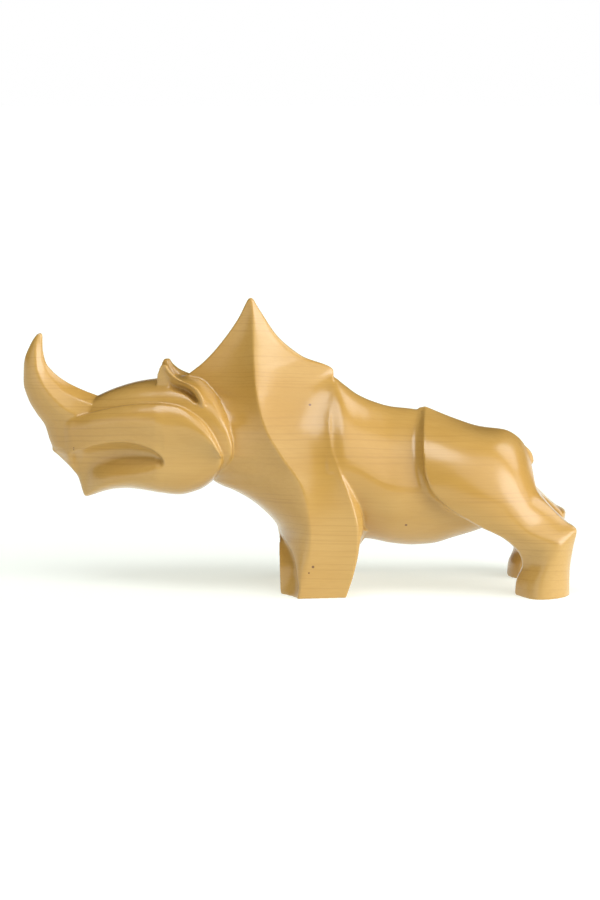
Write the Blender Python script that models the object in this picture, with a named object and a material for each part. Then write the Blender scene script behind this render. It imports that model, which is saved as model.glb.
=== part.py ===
"""A stylised rhinoceros, carved in one piece from a pale, close-grained wood.

It stands on the ground at z = 0, faces -X, and is symmetric about the plane y = 0. Concave panels
meet in crisp ridges: one runs from the hump down each foreleg, one from the withers down behind it,
and one round the front of each haunch.

The carving is drawn on a grid of one unit to the millimetre for the size below. Points are (x, out, z),
where out is the distance from the middle plane. Each form is lofted through closed sections that are
the same on both sides, the forms are joined, and the gaps between the legs are cut from below.
"""

import math

import bmesh
import bpy
from mathutils import Vector

# Driving sizes of the whole figure, in metres
FIGURE_LENGTH = 0.301
FIGURE_HEIGHT = 0.159
FIGURE_WIDTH = 0.089

# The same three sizes in units of the drawing
DRAWN_LENGTH = 301.0
DRAWN_HEIGHT = 157.8
DRAWN_WIDTH = 89.15

# Where the drawing has the middle of the figure's length
DRAWN_MIDDLE = -1.0

NEAR = 1
FAR = -1

# Points closer than this are one point, and edges sharper than this angle are shaded as ridges
WELD = 1e-6
RIDGE_ANGLE = math.radians(25.0)

# How many sections run along each of the long forms
FORE_COUNT = 34
HIND_COUNT = 32
HORN_COUNT = 22

# How many points each panel of a section has
FLUTE_POINTS = 4
NECK_POINTS = 4
FLANK_POINTS = 4
HAUNCH_POINTS = 6
COVE_POINTS = 3
BACK_POINTS = 6
BELLY_POINTS = 8
CHIN_POINTS = 5
CHEEK_POINTS = 6
EAR_POINTS = 6
CORNER_POINTS = 3
ARCH_POINTS = 6
SOFTENING_PASSES = 4

WOOD_COLOUR = (0.72, 0.43, 0.14, 1.0)
WOOD_ROUGHNESS = 0.38

# The fore form: hump, neck, shoulder and foreleg, by station from the peak (0) to the sole (10)
# Each line is (station, x, out, z)
NECK_LINE = (
    (0.0, -27.4, 0.3, 157.6),
    (0.15, -28.4, 0.8, 156.6),
    (0.4, -29.6, 0.9, 154.4),
    (1.0, -33.0, 0.9, 147.5),
    (2.0, -42.0, 0.9, 134.5),
    (3.0, -52.0, 0.9, 123.3),
    (3.7, -61.5, 0.9, 115.8),
    (4.1, -67.0, 0.6, 111.5),
    (4.5, -62.0, 12.0, 104.0),
    (5.2, -50.0, 25.0, 90.0),
    (6.0, -45.0, 25.0, 76.0),
    (6.6, -47.0, 15.0, 65.0),
    (6.9, -47.5, 3.0, 58.5),
    (7.05, -44.0, 0.0, 55.6),
    (7.2, -38.0, 0.0, 53.3),
    (7.6, -25.0, 0.0, 46.0),
    (8.0, -12.5, 0.0, 33.0),
    (8.5, -11.5, 15.0, 26.0),
    (9.2, -11.0, 26.0, 13.0),
    (10.0, -10.5, 27.5, 0.0),
)
SHOULDER_RIDGE = (
    (0.0, -26.8, 0.6, 157.8),
    (0.15, -26.7, 1.4, 156.8),
    (0.4, -26.2, 2.2, 154.4),
    (1.0, -25.6, 4.2, 148.0),
    (2.0, -25.3, 8.5, 135.5),
    (3.0, -24.6, 15.5, 121.0),
    (4.0, -22.8, 24.0, 105.5),
    (5.0, -18.6, 31.0, 90.5),
    (6.0, -9.5, 37.0, 75.0),
    (7.0, 1.6, 40.6, 58.5),
    (8.0, 5.3, 43.0, 38.0),
    (8.6, 4.4, 43.6, 26.0),
    (9.2, 1.6, 43.4, 13.5),
    (10.0, -1.0, 42.4, 0.0),
)
REAR_RIDGE = (
    (0.0, -26.2, 0.3, 157.6),
    (0.15, -25.2, 0.8, 156.6),
    (0.4, -24.0, 0.9, 154.4),
    (1.0, -20.0, 0.9, 148.0),
    (2.0, -12.0, 0.9, 136.5),
    (3.0, 1.0, 0.9, 126.0),
    (3.9, 18.5, 0.9, 117.6),
    (4.4, 17.8, 13.0, 107.0),
    (5.0, 16.3, 26.0, 93.5),
    (5.6, 17.0, 33.5, 81.5),
    (6.2, 20.5, 38.0, 70.5),
    (7.0, 26.5, 40.5, 55.5),
    (8.0, 31.2, 41.0, 36.0),
    (8.6, 31.0, 41.0, 26.0),
    (9.2, 29.0, 40.5, 14.0),
    (10.0, 25.0, 39.0, 0.0),
)
# (station, hollow of the neck panel, swell at the neck line, hollow of the shoulder panel, swell
# at the rear ridge, how soft the shoulder ridge is, how far the leg's rear face runs on behind it)
FORE_PANELS = (
    (0.0, 0.0, 0.1, 0.0, 0.1, 0.0, 0.0),
    (1.0, 0.8, 0.1, 0.3, 0.3, 0.0, 0.0),
    (2.0, 2.0, 0.1, 1.0, 0.45, 0.0, 0.0),
    (3.0, 3.4, 0.1, 2.2, 0.3, 0.0, 0.0),
    (3.7, 4.5, 0.1, 2.8, 0.05, 0.0, 0.0),
    (4.4, 4.5, 0.1, 2.6, 0.0, 0.0, 0.0),
    (5.0, 4.0, 0.1, 1.8, 0.0, 0.0, 0.0),
    (6.2, 3.5, 0.1, 0.9, 0.0, 0.0, 0.0),
    (6.6, 2.5, 0.25, 0.7, 0.0, 0.0, 1.5),
    (7.0, 1.6, 0.4, 0.6, 0.0, 0.0, 4.2),
    (7.6, 0.9, 0.55, 0.5, 0.0, 0.1, 4.2),
    (8.0, 0.6, 0.6, 0.5, 0.0, 0.25, 3.0),
    (8.6, 0.3, 0.4, 0.3, 0.0, 0.5, 0.8),
    (10.0, 0.0, 0.2, 0.0, 0.0, 0.6, 0.0),
)
# (station, how far over the leg's front the flute reaches, depth of the flute, how far the leg's
# inner front corner and its inner rear corner lie behind the outer ones, how far the legs have parted)
FORELEG = (
    (0.0, 0.02, 0.0, 0.0, 0.0, 0.0),
    (7.9, 0.02, 0.0, 0.0, 6.0, 0.0),
    (8.15, 0.08, 0.6, 0.5, 5.5, 0.6),
    (8.4, 0.22, 2.0, 1.5, 4.0, 1.0),
    (8.7, 0.42, 4.0, 3.5, 1.0, 1.0),
    (9.0, 0.6, 5.0, 5.5, -2.0, 1.0),
    (9.3, 0.74, 4.8, 6.0, -3.5, 1.0),
    (9.65, 0.92, 3.6, 6.0, -4.5, 1.0),
    (10.0, 0.96, 2.0, 6.0, -5.0, 1.0),
)

# The hind form: haunch, thigh and hind leg, by station from its crest (0) to the sole (10)
RUMP_LINE = (
    (0.0, 68.6, 0.0, 98.6),
    (1.0, 84.0, 0.0, 92.3),
    (2.0, 100.0, 0.0, 89.2),
    (3.0, 112.0, 0.0, 86.5),
    (4.0, 122.0, 0.0, 79.5),
    (5.0, 126.6, 6.0, 69.0),
    (6.0, 128.6, 21.0, 56.0),
    (6.6, 135.0, 27.0, 48.0),
    (7.2, 143.5, 31.0, 40.0),
    (7.7, 149.6, 33.0, 35.6),
    (8.4, 147.8, 32.0, 26.0),
    (9.2, 146.2, 31.0, 12.0),
    (10.0, 146.2, 31.0, 0.0),
)
HAUNCH_SWELL = (
    (0.0, 68.2, 0.6, 98.4),
    (1.0, 80.0, 12.0, 91.3),
    (2.0, 92.0, 23.0, 85.5),
    (3.0, 101.0, 30.5, 79.0),
    (4.0, 108.0, 35.5, 71.0),
    (5.0, 114.5, 38.5, 60.5),
    (6.0, 118.8, 40.0, 49.5),
    (6.8, 124.5, 41.2, 39.5),
    (7.3, 132.0, 42.0, 34.5),
    (7.7, 139.5, 42.5, 29.0),
    (8.4, 137.0, 43.2, 20.5),
    (9.2, 132.5, 44.0, 10.0),
    (10.0, 131.0, 44.8, 0.0),
)
HAUNCH_EDGE = (
    (0.0, 68.4, 1.0, 98.2),
    (1.0, 66.9, 19.0, 91.0),
    (2.0, 66.1, 32.0, 80.5),
    (3.0, 66.9, 38.8, 68.6),
    (4.0, 70.4, 41.3, 58.6),
    (5.0, 79.5, 42.0, 49.6),
    (6.0, 97.0, 40.5, 38.8),
    (7.0, 111.5, 38.0, 31.0),
    (7.7, 119.5, 34.0, 22.0),
    (8.3, 120.8, 31.5, 16.5),
    (9.2, 117.4, 30.0, 7.0),
    (10.0, 116.8, 30.0, 0.0),
)
# (station, swell at the rump line, bulge of the haunch, how soft its swell is, most depth and
# length of the cove in front of its edge, how far the leg's inner corners are rounded, and how far
# the legs have parted)
HAUNCH_PANELS = (
    (0.0, 0.1, 0.0, 0.3, 1.0, 3.0, 0.0, 0.0),
    (1.0, 0.3, 1.0, 0.8, 9.0, 4.5, 0.0, 0.0),
    (2.0, 0.4, 2.0, 1.0, 11.0, 5.0, 0.0, 0.0),
    (4.0, 0.5, 4.2, 1.0, 10.0, 5.0, 0.0, 0.0),
    (5.0, 0.45, 4.2, 1.0, 8.0, 4.0, 0.0, 0.0),
    (6.0, 0.4, 3.4, 0.9, 4.5, 2.0, 0.0, 0.0),
    (7.0, 0.2, 3.0, 0.6, 3.0, 1.0, 0.0, 0.0),
    (7.5, 0.15, 3.0, 0.1, 2.0, 0.6, 3.0, 0.7),
    (7.8, 0.1, 3.5, 0.1, 1.0, 0.4, 6.0, 1.0),
    (8.4, 0.3, 4.5, 0.7, 0.5, 0.3, 9.0, 1.0),
    (9.2, 0.7, 5.5, 0.9, 0.2, 0.2, 11.0, 1.0),
    (10.0, 0.8, 6.0, 0.9, 0.2, 0.2, 11.0, 1.0),
)

# The barrel between them: (x, top z, bottom z, half width, z of the widest point, swell of the back)
BARREL = (
    (0.0, 108.0, 40.0, 30.0, 66.0, 0.35),
    (18.0, 114.5, 31.0, 38.0, 68.0, 0.45),
    (24.0, 110.5, 29.5, 38.0, 68.0, 0.65),
    (31.0, 105.3, 27.0, 38.0, 66.0, 0.65),
    (40.0, 101.2, 26.0, 38.2, 61.0, 0.6),
    (50.0, 98.4, 24.0, 38.0, 57.0, 0.55),
    (61.0, 97.2, 23.0, 36.5, 56.0, 0.55),
    (72.0, 95.0, 23.6, 34.5, 55.0, 0.55),
    (84.0, 90.0, 27.0, 32.5, 53.0, 0.55),
    (100.0, 86.0, 32.0, 27.5, 52.0, 0.55),
    (112.0, 80.0, 38.0, 18.0, 56.0, 0.55),
)
BELLY_POWER = 2.1

# The skull and the collar behind it: (x, top z, bottom z, half width, z of the widest point)
SKULL = (
    (-120.0, 98.0, 82.0, 8.0, 90.0),
    (-111.0, 104.0, 80.0, 13.5, 90.0),
    (-100.0, 108.7, 76.0, 17.5, 91.0),
    (-88.0, 112.0, 70.0, 20.8, 92.0),
    (-76.0, 113.7, 62.0, 23.6, 92.0),
    (-66.0, 115.0, 58.0, 26.0, 90.0),
    (-56.0, 114.0, 57.0, 28.3, 86.0),
    (-48.0, 108.5, 59.0, 29.6, 82.0),
    (-42.0, 100.0, 62.5, 29.8, 80.0),
    (-38.5, 92.5, 66.5, 29.4, 78.0),
    (-36.3, 84.0, 71.5, 28.6, 77.0),
)
SKULL_SWELL = 1.8

# The cheek and the mouth, by x: out and z of the cheek's top edge, of the upper lip and of the lower
# lip, then z of the jaw at the middle and the depth of the mouth
CHEEK = (
    (-136.0, 1.0, 82.0, 0.8, 76.5, 0.4, 74.4, 74.0, 0.0),
    (-133.0, 5.0, 87.5, 4.5, 76.0, 1.5, 72.6, 71.8, -0.4),
    (-130.0, 8.0, 90.4, 7.8, 76.0, 3.2, 70.6, 69.0, -0.8),
    (-126.6, 10.7, 92.2, 11.2, 76.0, 6.0, 68.2, 65.8, -1.0),
    (-124.6, 11.7, 93.0, 12.8, 75.5, 5.0, 65.0, 63.6, 0.5),
    (-122.0, 12.5, 94.0, 14.4, 76.3, 2.5, 60.6, 60.0, 3.0),
    (-118.0, 14.0, 95.4, 16.4, 77.6, 4.0, 50.6, 49.0, 5.0),
    (-113.0, 16.0, 97.0, 18.6, 79.4, 10.0, 54.8, 50.3, 6.5),
    (-108.0, 18.0, 98.4, 20.5, 80.8, 14.5, 57.8, 52.0, 7.5),
    (-102.0, 19.7, 99.8, 22.5, 81.8, 18.0, 59.9, 53.4, 8.5),
    (-95.0, 21.5, 101.3, 24.6, 82.2, 21.4, 61.5, 53.9, 9.0),
    (-87.0, 23.5, 102.4, 26.9, 81.3, 25.0, 63.5, 53.4, 8.0),
    (-81.0, 25.0, 102.7, 28.4, 79.4, 27.5, 65.6, 52.7, 6.5),
    (-77.5, 26.0, 102.8, 29.2, 77.4, 28.7, 67.4, 52.2, 5.0),
    (-75.2, 26.5, 102.7, 29.7, 75.4, 29.5, 68.2, 52.0, 4.6),
    (-74.1, 26.8, 102.6, 29.9, 74.0, 29.8, 69.0, 51.9, 2.6),
    (-73.0, 27.0, 102.5, 30.1, 71.5, 30.1, 70.2, 51.7, 0.0),
    (-66.0, 28.0, 101.6, 31.0, 71.0, 31.0, 70.2, 51.2, 0.0),
    (-56.0, 30.0, 96.6, 31.8, 72.0, 31.8, 71.5, 53.5, 0.0),
    (-48.0, 31.0, 88.6, 32.0, 73.5, 32.0, 72.5, 58.5, 0.0),
    (-43.5, 31.2, 80.0, 31.6, 73.6, 31.6, 72.2, 65.0, 0.0),
    (-42.0, 31.0, 75.5, 31.0, 73.4, 31.0, 71.5, 69.5, 0.0),
)

# How far the cheek bulges below its top edge once it is clear of the muzzle
CHEEK_BULGE = 3.0
MUZZLE_TIP = -136.0
MUZZLE_LENGTH = 40.0

# How square the jaw is: rounder under the mouth, squarer behind the cheek
JAW_ROUND = 1.7
JAW_SQUARE = 3.4
JAW_TURNS = -92.0
JAW_TURNED = -72.0

# The horn, by station from the tip (0) to the upper lip (8), along its four edges
HORN_FRONT = (
    (0.0, -142.5, 0.0, 138.6),
    (0.2, -144.2, 0.0, 137.2),
    (1.0, -147.5, 0.0, 132.0),
    (2.0, -151.0, 0.0, 122.5),
    (3.0, -151.5, 0.0, 112.0),
    (4.0, -149.0, 0.0, 102.5),
    (5.0, -144.5, 0.0, 94.5),
    (6.0, -140.0, 0.0, 88.0),
    (7.0, -137.5, 0.0, 80.0),
    (8.0, -136.0, 0.0, 76.5),
)
HORN_RIDGE = (
    (0.0, -142.0, 0.5, 138.6),
    (0.2, -143.0, 1.6, 137.0),
    (1.0, -144.0, 3.5, 131.0),
    (2.0, -143.5, 5.5, 121.5),
    (3.0, -141.0, 7.5, 113.5),
    (4.0, -135.5, 9.5, 105.5),
    (5.0, -128.5, 11.0, 98.5),
    (6.0, -121.0, 12.0, 93.3),
    (7.0, -121.0, 12.5, 84.0),
    (8.0, -124.0, 11.5, 77.0),
)
HORN_EDGE = (
    (0.0, -141.6, 0.4, 138.6),
    (0.2, -141.4, 1.2, 137.0),
    (1.0, -142.0, 2.2, 131.0),
    (2.0, -141.3, 3.6, 121.5),
    (3.0, -137.3, 5.0, 114.8),
    (4.0, -130.5, 6.5, 108.4),
    (5.0, -121.5, 8.0, 103.8),
    (6.0, -112.0, 9.5, 99.3),
    (7.0, -110.0, 10.0, 88.0),
    (8.0, -112.0, 10.0, 80.0),
)
HORN_BACK = (
    (0.0, -141.2, 0.0, 138.6),
    (0.2, -140.4, 0.0, 137.2),
    (1.0, -140.4, 0.0, 131.0),
    (2.0, -139.0, 0.0, 123.0),
    (3.0, -134.5, 0.0, 117.0),
    (4.0, -126.0, 0.0, 111.0),
    (5.0, -117.5, 0.0, 107.0),
    (6.0, -109.0, 0.0, 103.0),
    (7.0, -106.0, 0.0, 92.0),
    (8.0, -108.0, 0.0, 82.0),
)

# The ear, by height: x and out of its front edge and of its rim, how dished it is, thickness
EAR = (
    (99.0, -79.0, 15.0, -52.2, 26.0, 1.0, 8.0),
    (102.0, -79.3, 14.6, -52.4, 27.6, 1.5, 8.0),
    (105.0, -79.3, 14.2, -52.9, 28.0, 2.0, 7.0),
    (108.0, -79.1, 14.0, -54.2, 27.6, 2.5, 6.0),
    (111.5, -78.4, 14.2, -57.0, 26.4, 2.5, 5.0),
    (113.3, -77.9, 14.4, -60.2, 25.0, 2.5, 4.5),
    (115.0, -77.4, 14.6, -65.0, 22.8, 2.2, 4.0),
    (117.4, -76.6, 15.0, -69.0, 20.6, 1.8, 3.4),
    (120.3, -75.6, 15.6, -72.0, 18.8, 1.0, 2.8),
    (122.0, -75.0, 16.0, -73.2, 17.8, 0.4, 2.0),
    (123.0, -74.4, 16.6, -73.6, 17.4, 0.1, 0.8),
)
RIM_WIDTH = 1.6

# The hollow under the ear's rim, by x: z of its roof and of its floor, out of its mouth, its depth
EAR_HOLLOW = (
    (-72.6, 119.4, 118.4, 19.5, 0.5),
    (-71.2, 116.8, 112.6, 20.0, 3.0),
    (-69.8, 115.2, 109.8, 20.8, 5.0),
    (-66.0, 113.0, 108.6, 22.6, 6.5),
    (-62.0, 111.8, 107.3, 24.6, 7.5),
    (-59.0, 110.2, 105.4, 26.0, 7.5),
    (-56.6, 107.8, 103.4, 27.2, 6.5),
    (-55.0, 105.4, 102.9, 27.8, 4.0),
    (-53.8, 104.0, 103.2, 28.2, 0.5),
)
HOLLOW_MOUTH = 4.0

# The tail, a stub on the rump, by height: x and half width
TAIL = (
    (63.8, 125.0, 1.2),
    (66.0, 127.2, 2.2),
    (68.5, 128.6, 2.8),
    (71.0, 128.2, 2.8),
    (74.5, 126.4, 2.2),
    (77.0, 123.5, 1.0),
)
TAIL_ROOT = 118.0
TAIL_ROUNDING = 1.6

# Half the gap between the forelegs. The legs' sections are drawn a little way into it, and it then
# cuts their inner faces.
LEG_GAP = 15.0
INNER_FACE = LEG_GAP - 0.5

# The gaps between the legs, cut from below: (x, top z, half width)
FORE_GAP = (
    (-30.0, 33.0, LEG_GAP),
    (-12.0, 29.0, LEG_GAP),
    (30.0, 25.0, LEG_GAP),
    (50.0, 20.0, LEG_GAP),
)
HIND_GAP = (
    (84.0, 20.0, LEG_GAP),
    (100.0, 29.0, LEG_GAP + 0.5),
    (116.0, 37.0, LEG_GAP + 1.0),
    (128.0, 45.0, LEG_GAP + 1.5),
    (140.0, 54.0, LEG_GAP + 2.0),
    (165.0, 68.0, LEG_GAP + 2.0),
)
BELOW_GROUND = -6.0


def to_metres(x, out, z, side):
    """A drawn point on the near or the far side, in metres."""
    return Vector((
        (x - DRAWN_MIDDLE) * FIGURE_LENGTH / DRAWN_LENGTH,
        -side * out * FIGURE_WIDTH / DRAWN_WIDTH,
        z * FIGURE_HEIGHT / DRAWN_HEIGHT,
    ))


def slope(line, k, value):
    """The slope of a drawn line at its point k: level at a turning point, so it never overshoots."""
    if k == 0:
        return (line[1][value] - line[0][value]) / (line[1][0] - line[0][0])
    if k == len(line) - 1:
        return (line[k][value] - line[k - 1][value]) / (line[k][0] - line[k - 1][0])
    before = (line[k][value] - line[k - 1][value]) / (line[k][0] - line[k - 1][0])
    after = (line[k + 1][value] - line[k][value]) / (line[k + 1][0] - line[k][0])
    if before * after <= 0:
        return 0.0
    return 2 * before * after / (before + after)


def along(line, station):
    """The values of a drawn line at a station, on a smooth curve through its points."""
    station = min(max(station, line[0][0]), line[-1][0])
    i = max(k for k in range(len(line) - 1) if line[k][0] <= station)
    span = line[i + 1][0] - line[i][0]
    s = (station - line[i][0]) / span
    made = []
    for value in range(1, len(line[0])):
        made.append(
            (1 + 2 * s) * (1 - s) ** 2 * line[i][value]
            + s * (1 - s) ** 2 * span * slope(line, i, value)
            + s * s * (3 - 2 * s) * line[i + 1][value]
            - s * s * (1 - s) * span * slope(line, i + 1, value)
        )
    return made


def rise(u, swell):
    """How far out a side has come at share u of the way: swell 0 is straight, 1 a quarter circle."""
    power = 1 + swell
    return (1 - (1 - u) ** power) ** (1 / power)


def mix(a, b, u):
    return [p + (q - p) * u for p, q in zip(a, b)]


def arch(u):
    """A bow over a panel: 0 at its two ends and 1 in its middle."""
    return 4 * u * (1 - u)


def early_arch(u):
    """A lopsided bow over a panel: 0 at its two ends and 1 at a third of the way."""
    return 27 / 4 * u * (1 - u) ** 2


def late_arch(u):
    """A lopsided bow over a panel: 0 at its two ends and 1 at two thirds of the way."""
    return early_arch(1 - u)


def softened(points, share):
    """The points with the corners between them rounded off by a share, their two ends kept."""
    smooth = points
    for _ in range(SOFTENING_PASSES):
        inner = [
            [(p + 2 * q + r) / 4 for p, q, r in zip(before, point, after)]
            for before, point, after in zip(smooth, smooth[1:], smooth[2:])
        ]
        smooth = [smooth[0]] + inner + [smooth[-1]]
    return [mix(point, rounded, share) for point, rounded in zip(points, smooth)]


def stretch(a, b, count, swell=0.0, hollow=0.0):
    """Points from corner a up to corner b, without b: swollen near a, or hollow all along."""
    made = []
    for i in range(count):
        u = i / count
        if swell > 0:
            u = 1 - math.cos(u * math.pi / 2)
        x, out, z = mix(a, b, u)
        out = a[1] + (b[1] - a[1]) * rise(u, swell) - hollow * arch(u)
        made.append([x, out, z])
    return made


def bow(a, b, count, power):
    """Points from corner a up to corner b, without b, on a quarter oval that starts level with b's out."""
    made = []
    for i in range(count):
        angle = i / count * math.pi / 2
        across = math.cos(angle) ** (2 / power)
        down = math.sin(angle) ** (2 / power)
        x, _, z = mix(a, b, down)
        made.append([x, b[1] + (a[1] - b[1]) * across, z])
    return made


def loft(name, outline, stations, side=None):
    """A closed form through the sections that outline(station) draws.

    With no side given, an outline is the near half of a section and is closed by its own mirror image.
    """
    rings = []
    for station in stations:
        points = outline(station)
        if side is None:
            ring = [to_metres(*p, NEAR) for p in points] + [to_metres(*p, FAR) for p in reversed(points)]
        else:
            ring = [to_metres(*p, side) for p in points]
        rings.append(ring)
    columns = len(rings[0])
    bm = bmesh.new()
    bmesh.ops.create_grid(bm, x_segments=columns, y_segments=len(rings) - 1, size=1.0)
    for vert in bm.verts:
        column = round((vert.co.x + 1) / 2 * columns)
        row = round((vert.co.y + 1) / 2 * (len(rings) - 1))
        vert.co = rings[row][column % columns]
    bmesh.ops.remove_doubles(bm, verts=bm.verts, dist=WELD)
    bmesh.ops.holes_fill(bm, edges=[e for e in bm.edges if e.is_boundary], sides=0)
    bmesh.ops.recalc_face_normals(bm, faces=bm.faces)
    mesh = bpy.data.meshes.new(name)
    bm.to_mesh(mesh)
    bm.free()
    mesh.shade_smooth()
    mesh.set_sharp_from_angle(angle=RIDGE_ANGLE)
    return bpy.data.objects.new(name, mesh)


def evenly(table, count):
    """Stations spread evenly from the first row of a table to its last."""
    first = table[0][0]
    last = table[-1][0]
    return [first + (last - first) * i / count for i in range(count + 1)]


def between_rows(table, per_gap):
    """Stations at every row of a table and a few between each two."""
    made = []
    for row, following in zip(table, table[1:]):
        made += [row[0] + (following[0] - row[0]) * i / per_gap for i in range(per_gap)]
    made.append(table[-1][0])
    return made


def inner_corner(corner, back, parted):
    """Points that round the inner side of a leg, from its inner face up to a corner of its section."""
    made = []
    for i in range(CORNER_POINTS):
        angle = i / CORNER_POINTS * math.pi / 2
        inward = max(corner[1] - INNER_FACE, 0.0) * parted * math.cos(angle)
        made.append([corner[0] + back * parted * (1 - math.sin(angle)), corner[1] - inward, corner[2]])
    return made


def fore_outline(station):
    neck = along(NECK_LINE, station)
    ridge = along(SHOULDER_RIDGE, station)
    rear = along(REAR_RIDGE, station)
    neck_hollow, neck_swell, flank_hollow, rear_swell, softness, strip = along(FORE_PANELS, station)
    reach, flute, front_back, rear_back, parted = along(FORELEG, station)
    shares = [reach * i / FLUTE_POINTS for i in range(FLUTE_POINTS)]
    shares += [reach + (1 - reach) * i / NECK_POINTS for i in range(NECK_POINTS)]
    front = []
    for u in shares:
        x, out, z = mix(neck, ridge, u)
        out = neck[1] + (ridge[1] - neck[1]) * rise(u, neck_swell) - neck_hollow * arch(u)
        if u < reach:
            out -= flute * arch(u / reach)
            x += flute * arch(u / reach)
        front.append([x, out, z])
    flank = []
    for i in range(FLANK_POINTS):
        u = math.sin(i / FLANK_POINTS * math.pi / 2)
        x, out, z = mix(ridge, rear, u)
        out = rear[1] + (ridge[1] - rear[1]) * rise(1 - u, rear_swell) - flank_hollow * arch(u)
        flank.append([x, out, z])
    behind = [rear[0] + strip, rear[1] - 1.3 * strip, rear[2]]
    return (
        inner_corner(neck, front_back, parted)
        + softened(front + flank + [rear], softness)
        + [behind]
        + inner_corner(behind, rear_back, parted)[::-1]
    )


def barrel_reach(x, z):
    """How far out the barrel comes at a place along it and a height."""
    top, bottom, width, widest, swell = along(BARREL, x)
    if z > widest:
        return width * rise(min((top - z) / (top - widest), 1.0), swell) if z < top else 0.0
    down = min((widest - z) / (widest - bottom), 1.0)
    return width * (1 - down ** BELLY_POWER) ** (1 / BELLY_POWER)


def hind_outline(station):
    rump = along(RUMP_LINE, station)
    edge = along(HAUNCH_EDGE, station)
    haunch = along(HAUNCH_SWELL, station)
    swell, bulge, softness, most_depth, length, rounding, parted = along(HAUNCH_PANELS, station)
    depth = min(edge[1] - barrel_reach(edge[0] - length, edge[2]), most_depth)
    cove = []
    for i in range(COVE_POINTS + 1):
        angle = i / COVE_POINTS * math.pi / 2
        cove.append([edge[0] - length * (1 - math.cos(angle)), edge[1] - depth * math.sin(angle), edge[2]])
    side = stretch(rump, haunch, FLANK_POINTS, swell) + stretch(haunch, edge, HAUNCH_POINTS, 0.0, -bulge)
    return (
        inner_corner(rump, -rounding, parted)
        + softened(side + [edge], softness)[:-1]
        + cove
        + inner_corner(cove[-1], rounding, parted)[::-1]
    )


def barrel_outline(x):
    top, bottom, width, widest, swell = along(BARREL, x)
    upper = stretch([x, 0.0, top], [x, width, widest], BACK_POINTS, swell)
    lower = bow([x, width, widest], [x, 0.0, bottom], BELLY_POINTS, BELLY_POWER)
    return upper + lower + [[x, 0.0, bottom]]


def skull_outline(x):
    top, bottom, width, widest = along(SKULL, x)
    upper = stretch([x, 0.0, top], [x, width, widest], BACK_POINTS, SKULL_SWELL)
    return upper + bow([x, width, widest], [x, 0.0, bottom], CHIN_POINTS, 2.2) + [[x, 0.0, bottom]]


def cheek_outline(x):
    top_out, top, upper_out, upper, lower_out, lower, jaw, depth = along(CHEEK, x)
    clear = min(1.0, (x - MUZZLE_TIP) / MUZZLE_LENGTH)
    face = []
    mouth = []
    for i in range(CHEEK_POINTS):
        u = i / CHEEK_POINTS
        bulge = CHEEK_BULGE * clear * early_arch(u)
        face.append([x, top_out + (upper_out - top_out) * u + bulge, top + (upper - top) * u])
        hollow = depth * early_arch(u)
        mouth.append([x, upper_out + (lower_out - upper_out) * u - hollow, upper + (lower - upper) * u])
    turned = min(max((x - JAW_TURNS) / (JAW_TURNED - JAW_TURNS), 0.0), 1.0)
    power = JAW_ROUND + (JAW_SQUARE - JAW_ROUND) * turned
    chin = bow([x, lower_out, lower], [x, 0.0, jaw], CHIN_POINTS, power)
    return [[x, 0.0, top - 2.0]] + face + mouth + chin + [[x, 0.0, jaw]]


def horn_outline(station):
    front = along(HORN_FRONT, station)
    ridge = along(HORN_RIDGE, station)
    edge = along(HORN_EDGE, station)
    back = along(HORN_BACK, station)
    hollow = stretch(ridge, edge, 4) + stretch(edge, back, 4, 0.0, -0.5)
    return stretch(front, ridge, 6, 0.5) + hollow + [back]


def ear_outline(height):
    front_x, front_out, rim_x, rim_out, dish, thick = along(EAR, height)
    front = [front_x, front_out, height]
    rim = [rim_x, rim_out, height]
    outer_rim = [rim_x + RIM_WIDTH, rim_out - RIM_WIDTH / 3, height]
    inside = []
    outside = []
    for i in range(EAR_POINTS):
        u = i / EAR_POINTS
        x, out, z = mix(front, rim, u)
        inside.append([x, out - dish * late_arch(u), z])
        x, out, z = mix(outer_rim, front, u)
        outside.append([x + thick * arch(u) / 2, out - (dish + thick) * arch(u), z])
    return inside + [rim] + outside


def hollow_outline(x):
    """A section of the wedge under the ear's rim: open outwards, round at its deep end."""
    roof, floor, mouth, depth = along(EAR_HOLLOW, x)
    made = [[x, mouth + HOLLOW_MOUTH, floor], [x, mouth + HOLLOW_MOUTH, roof]]
    for i in range(ARCH_POINTS + 1):
        angle = i / ARCH_POINTS * math.pi
        middle = (roof + floor) / 2
        made.append([x, mouth - depth * math.sin(angle), middle + (roof - floor) / 2 * math.cos(angle)])
    return made


def tail_outline(height):
    x, width = along(TAIL, height)
    return [
        [x, 0.0, height],
        [x - TAIL_ROUNDING / 5, width * 0.7, height],
        [x - TAIL_ROUNDING, width, height],
        [TAIL_ROOT, width, height],
    ]


def gap_outline(table):
    """Sections of a slot that runs along the figure, round at the top."""
    def outline(x):
        top, width = along(table, x)
        made = []
        for i in range(ARCH_POINTS + 1):
            angle = i / ARCH_POINTS * math.pi / 2
            made.append([x, width * math.sin(angle), top - width * (1 - math.cos(angle))])
        return made + [[x, width, BELOW_GROUND]]
    return outline


def wood():
    material = bpy.data.materials.new("satin_wood")
    material.use_nodes = True
    shader = material.node_tree.nodes["Principled BSDF"]
    shader.inputs["Base Color"].default_value = WOOD_COLOUR
    shader.inputs["Roughness"].default_value = WOOD_ROUGHNESS
    shader.inputs["Metallic"].default_value = 0.0
    return material


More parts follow.
